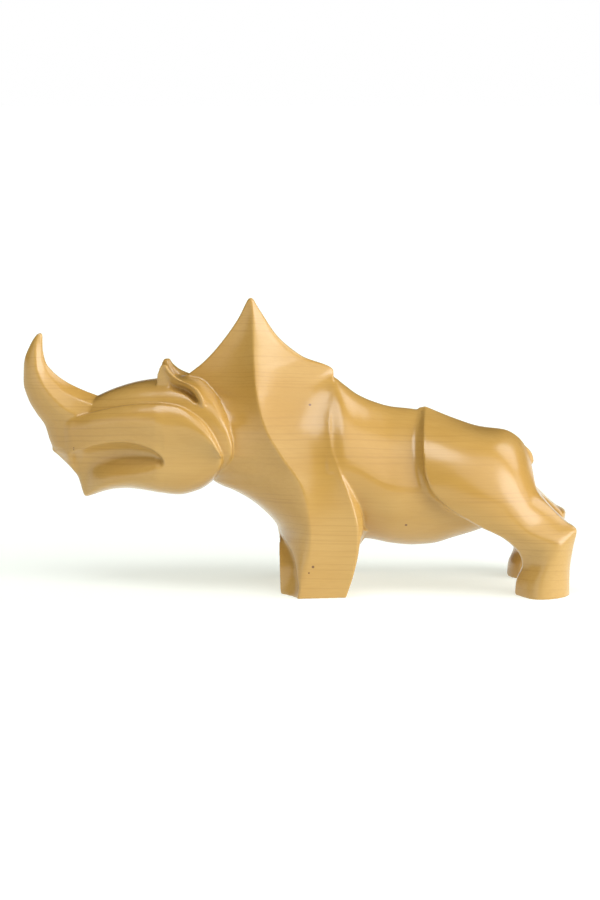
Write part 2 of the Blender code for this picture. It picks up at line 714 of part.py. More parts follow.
def main():
    for old in list(bpy.data.objects):
        bpy.data.objects.remove(old)
    figure = bpy.data.collections.new("rhinoceros")
    helpers = bpy.data.collections.new("joined_forms")
    bpy.context.scene.collection.children.link(figure)
    bpy.context.scene.collection.children.link(helpers)

    rhino = loft("rhinoceros", fore_outline, evenly(FORE_PANELS, FORE_COUNT))
    figure.objects.link(rhino)
    ear_heights = between_rows(EAR, 1)
    joined = [
        loft("hind", hind_outline, evenly(HAUNCH_PANELS, HIND_COUNT)),
        loft("barrel", barrel_outline, between_rows(BARREL, 2)),
        loft("skull", skull_outline, between_rows(SKULL, 2)),
        loft("cheek", cheek_outline, between_rows(CHEEK, 1)),
        loft("horn", horn_outline, evenly(HORN_FRONT, HORN_COUNT)),
        loft("near_ear", ear_outline, ear_heights, NEAR),
        loft("far_ear", ear_outline, ear_heights, FAR),
        loft("tail", tail_outline, between_rows(TAIL, 3)),
    ]
    cut = [
        loft("fore_gap", gap_outline(FORE_GAP), between_rows(FORE_GAP, 2)),
        loft("hind_gap", gap_outline(HIND_GAP), between_rows(HIND_GAP, 2)),
        loft("near_hollow", hollow_outline, between_rows(EAR_HOLLOW, 1), NEAR),
        loft("far_hollow", hollow_outline, between_rows(EAR_HOLLOW, 1), FAR),
    ]
    for form in joined + cut:
        helpers.objects.link(form)
        form.hide_render = True
        form.display_type = "WIRE"
        step = rhino.modifiers.new(form.name, "BOOLEAN")
        step.operation = "UNION" if form in joined else "DIFFERENCE"
        step.solver = "EXACT"
        step.object = form
    rhino.data.materials.append(wood())


main()
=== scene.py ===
"""The look of a stylised rhinoceros, carved in one piece from a pale, close-grained wood and lacquered.

The carving is lofted from nearly the drawn lines of the solid, in finer sections. The forms are fused and
sanded over, so that panels meet in softened ridges. The wood has fine growth lines, a few pin knots,
shade painted into the notch at the front of the mouth, and a satin coat. The figure stands on a pale floor
in soft studio light.
"""

import math

import bmesh
import bpy
import numpy as np
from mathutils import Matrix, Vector


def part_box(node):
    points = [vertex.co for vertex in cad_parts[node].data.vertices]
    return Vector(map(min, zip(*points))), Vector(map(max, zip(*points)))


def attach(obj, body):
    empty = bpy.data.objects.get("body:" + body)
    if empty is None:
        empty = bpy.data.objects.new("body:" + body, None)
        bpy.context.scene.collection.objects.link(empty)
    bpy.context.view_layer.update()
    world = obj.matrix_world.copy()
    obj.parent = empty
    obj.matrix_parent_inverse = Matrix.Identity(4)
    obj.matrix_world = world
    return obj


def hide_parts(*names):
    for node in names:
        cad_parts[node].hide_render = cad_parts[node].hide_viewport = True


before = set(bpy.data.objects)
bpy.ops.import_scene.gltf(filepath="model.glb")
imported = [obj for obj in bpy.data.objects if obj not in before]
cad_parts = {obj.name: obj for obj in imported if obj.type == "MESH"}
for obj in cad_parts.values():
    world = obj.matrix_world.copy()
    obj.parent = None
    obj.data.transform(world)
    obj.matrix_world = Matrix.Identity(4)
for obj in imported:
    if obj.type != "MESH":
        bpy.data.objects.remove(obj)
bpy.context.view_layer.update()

# The box of the solid, which the carving fills
low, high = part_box("rhinoceros")
SIZE = high - low

# The drawing: how long, high and wide the figure is in it, and where its middle lies. One unit is about
# a millimetre.
DRAWN_LENGTH = 301.0
DRAWN_HEIGHT = 157.8
DRAWN_WIDTH = 89.15
DRAWN_MIDDLE = -1.0

# The figure's two sides
NEAR = 1
FAR = -1

# Points closer than this, in metres, are one point
WELD = 1e-6

# How many sections run along each of the long forms
FORE_SECTIONS = 150
HIND_SECTIONS = 120
HORN_SECTIONS = 80

# How many points each panel of a section has
FLUTE_POINTS = 14
NECK_POINTS = 18
FLANK_POINTS = 20
HAUNCH_POINTS = 20
COVE_POINTS = 8
BACK_POINTS = 18
BELLY_POINTS = 20
CHIN_POINTS = 14
CHEEK_POINTS = 18
EAR_POINTS = 12
CORNER_POINTS = 8
ARCH_POINTS = 8
HORN_FRONT_POINTS = 6
HORN_REAR_POINTS = 4

# How many sections follow each row of a table, of the forms and of the gaps between the legs
ROWS_BETWEEN = 6
GAP_ROWS = 4

# How often the corners between panels are rounded off
SOFTENING_PASSES = 40

# The log that the figure was cut from: where its heart lay and how it was tilted. Rings are drawn by
# the distance from its heart, whatever the place along it.
LOG_MIDDLE = (0.0, 0.06, 0.16)
LOG_TILT = (0.0, math.radians(2.0), math.radians(3.0))
LOG_ACROSS = (0.0, 1.0, 1.0)

# Growth rings: their width and sway in metres, how uneven they are, and where the late wood begins
RING_WIDTH = 0.0015
RING_SWAY = 0.007
RING_DETAIL = 1.5
RING_ROUGHNESS = 0.6
LATE_WOOD_RANGE = (0.52, 0.68)
LINE_SHARE = 0.24

# Noise in the wood: its scale along the figure, across it and upwards, its detail and its roughness
SWAY_NOISE = ((9.0, 30.0, 30.0), 2.0, 0.5)
PATCH_NOISE = ((14.0, 40.0, 40.0), 2.0, 0.5)
CLOUD_NOISE = ((9.0, 26.0, 26.0), 3.0, 0.5)
FIBRE_NOISE = ((28.0, 900.0, 900.0), 4.0, 0.6)

# Which part of the noise counts, and what it is turned into
WHOLE = (0.0, 1.0)
FADING = (1.0, 0.0)
PATCH_RANGE = (0.38, 0.68)
PATCH_SHARE = (0.15, 1.0)
CLOUD_RANGE = (0.3, 0.7)
FIBRE_RANGE = (0.35, 0.7)
FIBRE_SHARE = (0.0, 0.16)
GRAIN_RANGE = (0.3, 0.75)
GRAIN_ROUGHNESS = (0.4, 0.5)
GRAIN_RELIEF = 0.12
GRAIN_DEPTH = 0.0002

# The satin coat, and how little the wood under it shines
WOOD_SHINE = 0.15
COAT_WEIGHT = 1.0
COAT_ROUGHNESS = 0.22
COAT_IOR = 1.55

# Colours of the wood
HONEY = (0.49, 0.272, 0.055, 1.0)
CREAM = (0.54, 0.325, 0.088, 1.0)
FIBRE = (0.40, 0.205, 0.043, 1.0)
LATE_WOOD = (0.33, 0.16, 0.032, 1.0)
# The dark brown of the pin knots, also used as painted shade in the notch of the mouth
KNOT_AND_SHADE = (0.15, 0.06, 0.02, 1.0)

# What share of the size of a pin knot, and of a spot of painted shade, is its dark core
KNOT_AND_SHADE_CORE = 0.35

# Pin knots, and two spots of painted shade: (place, size), in metres
PIN_KNOTS_AND_NOTCH_SHADE = (
    ((0.0064, -0.0176, 0.1023), 0.0010),
    ((0.0080, -0.0426, 0.0177), 0.0010),
    ((0.0058, -0.0427, 0.0144), 0.0007),
    ((0.0583, -0.0317, 0.0387), 0.0010),
    # Two spots of painted shade in the notch where the upper lip begins, at the front of the mouth
    ((-0.1223, -0.0136, 0.0772), 0.0005),
    ((-0.1222, -0.0136, 0.0783), 0.0005),
)

# How wide the lights of the studio are
BROADEST = math.radians(62.0)
BROAD = math.radians(44.0)
NARROW = math.radians(32.0)

# The lights: (name, degrees round from the front, degrees above the floor, width, strength)
SUNS = (
    ("right", 65.0, 20.0, BROAD, 1.75),
    ("far_right", 90.0, 8.0, BROAD, 0.7),
    ("left", -45.0, 8.0, BROAD, 0.4),
    ("key", 42.0, 38.0, BROADEST, 1.3),
    ("overhead", -18.0, 70.0, NARROW, 1.2),
    ("behind", 118.0, 40.0, NARROW, 0.6),
)

# Between which heights, as the sine of the angle above the floor, the studio's white edge fades out
EDGE_FADES = (0.04, 0.12)
WHITE = (1.0, 1.0, 1.0, 1.0)

# The floor: how far it runs each way in metres, and its finish
FLOOR_REACH = 20.0
FLOOR_COLOUR = (0.50, 0.51, 0.49, 1.0)
FLOOR_ROUGHNESS = 0.9
FLOOR_SHINE = 0.1
FLOOR_GLOW = 0.6
FLOOR_GLOW_COLOUR = (0.98, 1.04, 0.96, 1.0)

# The camera: how far down it looks, its distance and its aim in metres, its lens in millimetres
CAMERA_ELEVATION = math.radians(8.0)
CAMERA_DISTANCE = 1.485
CAMERA_AIM = (0.001, 0.0, 0.0752)
CAMERA_LENS = 108.0
CAMERA_SENSOR = 36.0

# Fusing and sanding: the size of the fused body's faces in metres, and how far it is smoothed
FUSED_FACE = 0.0006
SANDING_STRENGTH = 0.5
SANDING_PASSES = 8
MOST_TRIANGLES = 190000

# The fore form: hump, neck, shoulder and foreleg, by station from the peak (0) to the sole (10)
# Each line is (station, x, out, z)
NECK_LINE = (
    (0.0, -27.4, 0.3, 157.6),
    (0.15, -28.4, 0.8, 156.6),
    (0.4, -29.6, 0.9, 154.4),
    (1.0, -33.0, 0.9, 147.5),
    (2.0, -42.0, 0.9, 134.5),
    (3.0, -52.0, 0.9, 123.3),
    (3.7, -61.5, 0.9, 115.8),
    (4.1, -67.0, 0.6, 111.5),
    (4.5, -62.0, 12.0, 104.0),
    (5.2, -50.0, 25.0, 90.0),
    (6.0, -45.0, 25.0, 76.0),
    (6.6, -47.0, 15.0, 65.0),
    (6.9, -47.5, 3.0, 58.5),
    (7.05, -44.0, 0.0, 55.6),
    (7.2, -38.0, 0.0, 53.3),
    (7.6, -25.0, 0.0, 46.0),
    (8.0, -12.5, 0.0, 33.0),
    (8.5, -11.5, 15.0, 26.0),
    (9.2, -11.0, 26.0, 13.0),
    (10.0, -10.5, 27.5, 0.0),
)
SHOULDER_RIDGE = (
    (0.0, -26.8, 0.6, 157.8),
    (0.15, -26.7, 1.4, 156.8),
    (0.4, -26.2, 2.2, 154.4),
    (1.0, -25.6, 4.2, 148.0),
    (2.0, -25.3, 8.5, 135.5),
    (3.0, -24.6, 15.5, 121.0),
    (4.0, -22.8, 24.0, 105.5),
    (5.0, -18.6, 31.0, 90.5),
    (6.0, -9.5, 37.0, 75.0),
    (7.0, 1.6, 40.6, 58.5),
    (8.0, 5.3, 43.0, 38.0),
    (8.6, 4.4, 43.6, 26.0),
    (9.2, 1.6, 43.4, 13.5),
    (10.0, -1.0, 42.4, 0.0),
)
REAR_RIDGE = (
    (0.0, -26.2, 0.3, 157.6),
    (0.15, -25.2, 0.8, 156.6),
    (0.4, -24.0, 0.9, 154.4),
    (1.0, -20.0, 0.9, 148.0),
    (2.0, -12.0, 0.9, 136.5),
    (3.0, 1.0, 0.9, 126.0),
    (3.9, 18.5, 0.9, 117.6),
    (4.4, 17.8, 13.0, 107.0),
    (5.0, 16.3, 26.0, 93.5),
    (5.6, 17.0, 33.5, 81.5),
    (6.2, 20.5, 38.0, 70.5),
    (7.0, 26.5, 40.5, 55.5),
    (8.0, 31.2, 41.0, 36.0),
    (8.6, 31.0, 41.0, 26.0),
    (9.2, 29.0, 40.5, 14.0),
    (10.0, 25.0, 39.0, 0.0),
)
# (station, hollow of the neck panel, swell at the neck line, hollow of the shoulder panel, swell
# at the rear ridge, how soft the shoulder ridge is, how far the leg's rear face runs on behind it)
FORE_PANELS = (
    (0.0, 0.0, 0.1, 0.0, 0.1, 0.0, 0.0),
    (1.0, 0.8, 0.1, 0.3, 0.3, 0.0, 0.0),
    (2.0, 2.0, 0.1, 1.0, 0.45, 0.0, 0.0),
    (3.0, 3.4, 0.1, 2.2, 0.3, 0.0, 0.0),
    (3.7, 4.5, 0.1, 2.8, 0.05, 0.0, 0.0),
    (4.4, 4.5, 0.1, 2.6, 0.0, 0.0, 0.0),
    (5.0, 4.0, 0.1, 1.8, 0.0, 0.0, 0.0),
    (6.2, 3.5, 0.1, 0.9, 0.0, 0.0, 0.0),
    (6.6, 2.5, 0.25, 0.7, 0.0, 0.0, 1.2),
    (7.0, 1.6, 0.4, 0.6, 0.0, 0.0, 3.2),
    (7.6, 0.9, 0.55, 0.5, 0.0, 0.1, 3.4),
    (8.0, 0.6, 0.6, 0.5, 0.0, 0.25, 2.6),
    (8.6, 0.3, 0.4, 0.3, 0.0, 0.5, 0.8),
    (10.0, 0.0, 0.2, 0.0, 0.0, 0.6, 0.0),
)
# The shoulder panel is evened out over a few stations, most in its middle, up to the station of the sole
SHOULDER_REACH = 0.8
SHOULDER_EVENING = 0.9
SHOULDER_ENDS = 10.0

# How far in the leg's rear face comes for each unit that it runs on behind the rear ridge
REAR_FACE_SLANT = 1.3

# (station, how far over the leg's front the flute reaches, depth of the flute, how far the leg's
# inner front corner and its inner rear corner lie behind the outer ones, how far the legs have parted)
FORELEG = (
    (0.0, 0.02, 0.0, 0.0, 0.0, 0.0),
    (7.9, 0.02, 0.0, 0.0, 6.0, 0.0),
    (8.15, 0.08, 0.6, 0.5, 5.5, 0.6),
    (8.4, 0.22, 2.0, 1.5, 4.0, 1.0),
    (8.7, 0.42, 4.0, 3.5, 1.0, 1.0),
    (9.0, 0.6, 5.0, 5.5, -2.0, 1.0),
    (9.3, 0.74, 4.8, 6.0, -3.5, 1.0),
    (9.65, 0.92, 3.6, 6.0, -4.5, 1.0),
    (10.0, 0.96, 2.0, 6.0, -5.0, 1.0),
)

# The hind form: haunch, thigh and hind leg, by station from its crest (0) to the sole (10)
RUMP_LINE = (
    (0.0, 68.6, 0.0, 98.6),
    (1.0, 84.0, 0.0, 92.3),
    (2.0, 100.0, 0.0, 87.2),
    (3.0, 112.0, 0.0, 85.9),
    (4.0, 122.0, 0.0, 79.5),
    (5.0, 126.6, 6.0, 69.0),
    (6.0, 128.6, 21.0, 56.0),
    (6.6, 135.0, 27.0, 48.0),
    (7.2, 143.5, 31.0, 40.0),
    (7.7, 149.6, 33.0, 35.6),
    (8.4, 147.8, 32.0, 26.0),
    (9.2, 146.2, 31.0, 12.0),
    (10.0, 146.2, 31.0, 0.0),
)
HAUNCH_SWELL = (
    (0.0, 68.2, 0.6, 98.4),
    (1.0, 80.0, 12.0, 91.3),
    (2.0, 92.0, 23.0, 85.5),
    (3.0, 101.0, 30.5, 79.0),
    (4.0, 108.0, 35.5, 71.0),
    (5.0, 114.5, 38.5, 60.5),
    (6.0, 118.8, 40.0, 49.5),
    (6.8, 124.5, 41.2, 39.5),
    (7.3, 132.0, 42.0, 34.5),
    (7.7, 139.5, 42.5, 29.0),
    (8.4, 137.0, 43.2, 20.5),
    (9.2, 132.5, 44.0, 10.0),
    (10.0, 131.0, 44.8, 0.0),
)
HAUNCH_EDGE = (
    (0.0, 68.4, 1.0, 98.2),
    (1.0, 66.9, 19.0, 91.0),
    (2.0, 66.1, 32.0, 80.5),
    (3.0, 66.9, 38.8, 68.6),
    (4.0, 70.4, 41.3, 58.6),
    (5.0, 79.5, 42.0, 49.6),
    (6.0, 97.0, 40.5, 38.8),
    (7.0, 111.5, 38.0, 31.0),
    (7.7, 119.5, 34.0, 22.0),
    (8.3, 120.8, 31.5, 16.5),
    (9.2, 117.4, 30.0, 7.0),
    (10.0, 116.8, 30.0, 0.0),
)
# (station, swell at the rump line, bulge of the haunch, how soft its swell is, most depth and
# length of the cove in front of its edge, how far the leg's inner corners are rounded, and how far
# the legs have parted)
HAUNCH_PANELS = (
    (0.0, 0.1, 0.0, 0.3, 1.0, 3.0, 0.0, 0.0),
    (1.0, 0.3, 1.0, 0.8, 9.0, 4.5, 0.0, 0.0),
    (2.0, 0.4, 2.0, 1.0, 11.0, 5.0, 0.0, 0.0),
    (4.0, 0.5, 4.2, 1.0, 10.0, 5.0, 0.0, 0.0),
    (5.0, 0.45, 4.2, 1.0, 8.0, 4.0, 0.0, 0.0),
    (6.0, 0.4, 3.4, 0.9, 4.5, 2.0, 0.0, 0.0),
    (7.0, 0.2, 3.0, 0.6, 3.0, 1.0, 0.0, 0.0),
    (7.5, 0.15, 3.0, 0.1, 2.0, 0.6, 3.0, 0.7),
    (7.8, 0.1, 3.5, 0.1, 1.0, 0.4, 6.0, 1.0),
    (8.4, 0.3, 4.5, 0.7, 0.5, 0.3, 9.0, 1.0),
    (9.2, 0.7, 5.5, 0.9, 0.2, 0.2, 11.0, 1.0),
    (10.0, 0.8, 6.0, 0.9, 0.2, 0.2, 11.0, 1.0),
)

# The barrel between them: (x, top z, bottom z, half width, z of the widest point, swell of the back)
BARREL = (
    (0.0, 108.0, 40.0, 30.0, 66.0, 0.35),
    (18.0, 114.5, 31.0, 38.0, 68.0, 0.42),
    (24.0, 110.5, 29.5, 38.0, 68.0, 0.6),
    (31.0, 105.3, 27.0, 38.0, 66.0, 0.62),
    (40.0, 101.2, 26.0, 38.2, 61.0, 0.6),
    (50.0, 98.4, 24.0, 38.0, 57.0, 0.55),
    (61.0, 97.2, 23.0, 36.5, 56.0, 0.55),
    (72.0, 95.0, 23.6, 34.5, 55.0, 0.55),
    (84.0, 90.0, 27.0, 32.5, 53.0, 0.55),
    (100.0, 86.0, 32.0, 27.5, 52.0, 0.55),
    (112.0, 80.0, 38.0, 18.0, 56.0, 0.55),
)
# How square the belly's section is: 2 is an oval
BELLY_POWER = 2.1

# The skull and the collar behind it: (x, top z, bottom z, half width, z of the widest point, how
# far its top is swollen)
SKULL = (
    (-120.0, 98.0, 82.0, 8.0, 90.0, 1.8),
    (-111.0, 104.0, 80.0, 13.5, 90.0, 1.8),
    (-100.0, 108.7, 76.0, 17.5, 91.0, 1.8),
    (-88.0, 112.0, 70.0, 20.8, 92.0, 1.8),
    (-76.0, 113.7, 62.0, 23.6, 92.0, 1.8),
    (-66.0, 115.0, 58.0, 26.0, 90.0, 1.8),
    (-56.0, 114.0, 57.0, 28.5, 86.0, 1.8),
    (-48.0, 108.5, 59.0, 29.9, 82.0, 2.4),
    (-42.0, 100.0, 62.5, 30.6, 80.0, 3.6),
    (-38.5, 92.5, 66.5, 30.7, 78.0, 4.2),
    (-36.3, 84.0, 71.5, 30.2, 77.0, 4.2),
)
# How square the skull's underside is
SKULL_POWER = 2.2

# The cheek and the mouth, by x: out and z of the cheek's top edge, of the upper lip and of the lower
# lip, then z of the jaw at the middle and the depth of the mouth
CHEEK = (
    (-136.0, 1.0, 82.0, 0.8, 76.5, 0.4, 74.4, 74.0, 0.0),
    (-133.0, 5.0, 87.5, 4.5, 76.0, 1.5, 72.6, 71.8, -0.4),
    (-130.0, 8.0, 90.4, 7.8, 76.0, 3.2, 70.6, 69.0, -0.8),
    (-126.6, 10.7, 92.2, 11.2, 76.0, 6.0, 68.2, 65.8, -1.0),
    (-124.6, 11.7, 93.0, 12.8, 75.5, 5.0, 65.0, 63.6, 0.5),
    (-122.0, 12.5, 94.0, 14.4, 76.3, 2.5, 60.6, 60.0, 3.0),
    (-118.0, 14.0, 95.4, 16.4, 77.6, 4.0, 50.6, 49.0, 5.0),
    (-113.0, 16.0, 97.0, 18.6, 79.4, 10.0, 54.8, 50.3, 6.5),
    (-108.0, 17.4, 98.4, 20.5, 80.8, 14.5, 57.8, 52.0, 7.5),
    (-102.0, 18.8, 99.8, 22.5, 81.8, 18.0, 59.9, 53.4, 8.5),
    (-95.0, 20.4, 101.3, 24.6, 82.2, 21.4, 61.5, 53.9, 9.0),
    (-87.0, 22.3, 102.4, 26.9, 81.3, 25.0, 63.5, 53.4, 8.0),
    (-81.0, 23.8, 102.7, 28.4, 79.4, 27.5, 65.6, 52.7, 6.5),
    (-77.5, 24.8, 102.8, 29.2, 77.4, 28.7, 67.4, 52.2, 5.0),
    (-75.2, 25.3, 102.7, 29.3, 75.4, 29.0, 68.2, 52.0, 4.6),
    (-74.1, 25.6, 102.6, 29.3, 74.0, 29.1, 69.0, 51.9, 2.6),
    (-73.0, 25.8, 102.5, 29.3, 71.5, 29.3, 70.2, 51.7, 0.0),
    (-66.0, 26.9, 101.6, 29.6, 71.0, 29.6, 70.2, 51.2, 0.0),
    (-56.0, 29.4, 96.6, 30.2, 72.0, 30.2, 71.5, 53.5, 0.0),
    (-48.0, 31.0, 88.6, 30.9, 73.5, 30.9, 72.5, 58.5, 0.0),
    (-43.5, 31.2, 80.0, 31.6, 73.6, 31.6, 72.2, 65.0, 0.0),
    (-42.0, 31.0, 75.5, 31.0, 73.4, 31.0, 71.5, 69.5, 0.0),
)

# How far the cheek bulges below its top edge once it is clear of the muzzle
CHEEK_BULGE = 3.8
MUZZLE_TIP = -136.0
MUZZLE_LENGTH = 40.0

# How far below its two top edges the cheek's form closes, inside the skull
CHEEK_SINKS = 2.0

# How square the jaw is: rounder under the mouth, squarer behind the cheek
JAW_ROUND = 1.7
JAW_SQUARE = 2.7
JAW_TURNS = -92.0
JAW_TURNED = -72.0

# The horn, by station from the tip (0) to the upper lip (8), along its four edges
HORN_FRONT = (
    (0.0, -142.5, 0.0, 138.6),
    (0.2, -144.2, 0.0, 137.2),
    (1.0, -147.5, 0.0, 132.0),
    (2.0, -151.0, 0.0, 122.5),
    (3.0, -151.5, 0.0, 112.0),
    (4.0, -149.0, 0.0, 102.5),
    (5.0, -144.5, 0.0, 94.5),
    (6.0, -140.0, 0.0, 88.0),
    (7.0, -137.5, 0.0, 80.0),
    (8.0, -136.0, 0.0, 76.5),
)
HORN_RIDGE = (
    (0.0, -142.0, 0.5, 138.6),
    (0.2, -143.0, 1.6, 137.0),
    (1.0, -144.0, 3.5, 131.0),
    (2.0, -143.5, 5.5, 121.5),
    (3.0, -141.0, 7.5, 113.5),
    (4.0, -135.5, 9.5, 105.5),
    (5.0, -128.5, 11.0, 98.5),
    (6.0, -121.0, 12.0, 93.3),
    (7.0, -121.0, 12.5, 84.0),
    (8.0, -124.0, 11.5, 77.0),
)
HORN_EDGE = (
    (0.0, -141.6, 0.4, 138.6),
    (0.2, -141.4, 1.2, 137.0),
    (1.0, -142.0, 2.2, 131.0),
    (2.0, -141.3, 3.6, 121.5),
    (3.0, -137.3, 5.0, 114.8),
    (4.0, -130.5, 6.5, 108.4),
    (5.0, -121.5, 8.0, 103.8),
    (6.0, -112.0, 9.5, 99.3),
    (7.0, -110.0, 10.0, 88.0),
    (8.0, -112.0, 10.0, 80.0),
)
HORN_BACK = (
    (0.0, -141.2, 0.0, 138.6),
    (0.2, -140.4, 0.0, 137.2),
    (1.0, -140.4, 0.0, 131.0),
    (2.0, -139.0, 0.0, 123.0),
    (3.0, -134.5, 0.0, 117.0),
    (4.0, -126.0, 0.0, 111.0),
    (5.0, -117.5, 0.0, 107.0),
    (6.0, -109.0, 0.0, 103.0),
    (7.0, -106.0, 0.0, 92.0),
    (8.0, -108.0, 0.0, 82.0),
)
# How far the horn's side swells, and how far its rear face bulges
HORN_SWELL = 0.5
HORN_REAR_BULGE = 0.5

# The ear, by height: x and out of its front edge and of its rim, how dished it is, thickness
EAR = (
    (99.0, -79.0, 15.0, -52.2, 26.0, 1.0, 8.0),
    (102.0, -79.3, 14.6, -52.4, 27.6, 1.5, 8.0),
    (105.0, -79.3, 14.2, -52.9, 28.0, 2.0, 7.0),
    (108.0, -79.1, 14.0, -54.2, 27.6, 2.5, 6.0),
    (111.5, -78.4, 14.2, -57.0, 26.4, 2.5, 5.0),
    (113.3, -77.9, 14.4, -60.2, 25.0, 2.5, 4.5),
    (115.0, -78.0, 14.6, -65.0, 22.8, 2.2, 4.0),
    (117.4, -77.5, 15.0, -69.0, 20.6, 1.8, 3.4),
    (120.3, -76.6, 15.6, -72.0, 18.8, 1.0, 2.8),
    (122.0, -76.0, 16.0, -73.0, 17.8, 0.4, 2.0),
    (123.0, -75.2, 16.6, -73.4, 17.4, 0.1, 0.8),
)
# The rim's flat edge: its width, and how far in its outer corner lies
RIM_WIDTH = 1.6
RIM_TURN = RIM_WIDTH / 3

# The hollow under the ear's rim, by x: z of its roof and of its floor, out of its mouth, its depth
EAR_HOLLOW = (
    (-72.6, 119.4, 118.4, 19.5, 0.5),
    (-71.2, 116.8, 112.6, 20.0, 3.0),
    (-69.8, 115.2, 109.8, 20.8, 5.0),
    (-66.0, 113.0, 108.6, 22.6, 6.5),
    (-62.0, 111.8, 107.3, 24.6, 7.5),
    (-59.0, 110.2, 105.4, 26.0, 7.5),
    (-56.6, 107.8, 103.4, 27.2, 6.5),
    (-55.0, 105.4, 102.9, 27.8, 4.0),
    (-53.8, 104.0, 103.2, 28.2, 0.5),
)
# How far outside the ear the form that cuts the hollow begins
HOLLOW_MOUTH = 4.0

# The tail, a stub on the rump, by height: x and half width
TAIL = (
    (63.8, 125.0, 1.2),
    (66.0, 127.2, 2.2),
    (68.5, 128.6, 2.8),
    (71.0, 128.2, 2.8),
    (74.5, 126.4, 2.2),
    (77.0, 123.5, 1.0),
)
# Where the stub ends inside the rump, and how its rear face is rounded
TAIL_ROOT = 118.0
TAIL_ROUNDING = 1.6
TAIL_FACE_ROUNDING = TAIL_ROUNDING / 5
TAIL_FACE_SHARE = 0.7

# Half the gap between the forelegs. The legs' sections are drawn a little way into it, and it then
# cuts their inner faces.
LEG_GAP = 15.0
LEG_OVERLAP = 0.5
INNER_FACE = LEG_GAP - LEG_OVERLAP

# The gaps between the legs, cut from below: (x, top z, half width)
FORE_GAP = (
    (-30.0, 33.0, LEG_GAP),
    (-12.0, 29.0, LEG_GAP),
    (30.0, 25.0, LEG_GAP),
    (50.0, 20.0, LEG_GAP),
)
HIND_GAP = (
    (84.0, 20.0, LEG_GAP),
    (100.0, 29.0, LEG_GAP + 0.5),
    (116.0, 37.0, LEG_GAP + 1.0),
    (128.0, 45.0, LEG_GAP + 1.5),
    (140.0, 54.0, LEG_GAP + 2.0),
    (165.0, 68.0, LEG_GAP + 2.0),
)
BELOW_GROUND = -6.0


# Curves


def slope(line, k, value):
    """The slope of a drawn line at its point k: level at a turning point, so it never overshoots."""
    if k == 0:
        return (line[1][value] - line[0][value]) / (line[1][0] - line[0][0])
    if k == len(line) - 1:
        return (line[k][value] - line[k - 1][value]) / (line[k][0] - line[k - 1][0])
    before = (line[k][value] - line[k - 1][value]) / (line[k][0] - line[k - 1][0])
    after = (line[k + 1][value] - line[k][value]) / (line[k + 1][0] - line[k][0])
    if before * after <= 0:
        return 0.0
    return 2 * before * after / (before + after)


def along(line, station):
    """The values of a drawn line at a station, on a smooth curve through its points."""
    station = min(max(station, line[0][0]), line[-1][0])
    i = max(k for k in range(len(line) - 1) if line[k][0] <= station)
    span = line[i + 1][0] - line[i][0]
    s = (station - line[i][0]) / span
    made = []
    for value in range(1, len(line[0])):
        made.append(
            (1 + 2 * s) * (1 - s) ** 2 * line[i][value]
            + s * (1 - s) ** 2 * span * slope(line, i, value)
            + s * s * (3 - 2 * s) * line[i + 1][value]
            - s * s * (1 - s) * span * slope(line, i + 1, value)
        )
    return made


def rise(u, swell):
    """How far out a side has come at share u of the way: swell 0 is straight, 1 a quarter circle."""
    power = 1 + swell
    return (1 - (1 - u) ** power) ** (1 / power)


def mix(a, b, u):
    """The point at share u of the way from a to b."""
    return [p + (q - p) * u for p, q in zip(a, b)]


def arch(u):
    """A bow over a panel: 0 at its two ends and 1 in its middle."""
    return 4 * u * (1 - u)


def early_arch(u):
    """A lopsided bow over a panel: 0 at its two ends and 1 at a third of the way."""
    return 27 / 4 * u * (1 - u) ** 2


def late_arch(u):
    """A lopsided bow over a panel: 0 at its two ends and 1 at two thirds of the way."""
    return early_arch(1 - u)


def softened(points, share):
    """The points with the corners between them rounded off by a share, their two ends kept."""
    smooth = points
    for _ in range(SOFTENING_PASSES):
        inner = [
            [(p + 2 * q + r) / 4 for p, q, r in zip(before, point, after)]
            for before, point, after in zip(smooth, smooth[1:], smooth[2:])
        ]
        smooth = [smooth[0]] + inner + [smooth[-1]]
    return [mix(point, rounded, share) for point, rounded in zip(points, smooth)]


def stretch(a, b, count, swell=0.0, hollow=0.0):
    """Points from corner a as far as corner b, without b: swollen outwards or hollow between them."""
    made = []
    for i in range(count):
        u = i / count
        if swell > 0:
            u = 1 - math.cos(u * math.pi / 2)
        x, _, z = mix(a, b, u)
        out = a[1] + (b[1] - a[1]) * rise(u, swell) - hollow * arch(u)
        made.append([x, out, z])
    return made


def bow(a, b, count, power):
    """Points from corner a as far as corner b, without b, on a quarter oval: upright at a, level at b."""
    made = []
    for i in range(count):
        angle = i / count * math.pi / 2
        across = math.cos(angle) ** (2 / power)
        down = math.sin(angle) ** (2 / power)
        x, _, z = mix(a, b, down)
        made.append([x, b[1] + (a[1] - b[1]) * across, z])
    return made


# Stations


def evenly(table, count):
    """Stations spread evenly from the first row of a table to its last."""
    first = table[0][0]
    last = table[-1][0]
    return [first + (last - first) * i / count for i in range(count + 1)]


def between_rows(table, per_gap):
    """Stations at every row of a table and a few between each two."""
    made = []
    for row, following in zip(table, table[1:]):
        made += [row[0] + (following[0] - row[0]) * i / per_gap for i in range(per_gap)]
    made.append(table[-1][0])
    return made


# Sections of the fore form


def inner_corner(corner, back, parted):
    """Points that round the inner side of a leg, from its inner face up to a corner of its section."""
    made = []
    for i in range(CORNER_POINTS):
        angle = i / CORNER_POINTS * math.pi / 2
        inward = max(corner[1] - INNER_FACE, 0.0) * parted * math.cos(angle)
        made.append([corner[0] + back * parted * (1 - math.sin(angle)), corner[1] - inward, corner[2]])
    return made


def on_shoulder(station, u):
    """A point on the shoulder panel, at share u of the way from the shoulder ridge to the rear ridge."""
    ridge = along(SHOULDER_RIDGE, station)
    rear = along(REAR_RIDGE, station)
    _, _, hollow, swell, _, _ = along(FORE_PANELS, station)
    x, _, z = mix(ridge, rear, u)
    out = rear[1] + (ridge[1] - rear[1]) * rise(1 - u, swell) - hollow * arch(u)
    return [x, out, z]


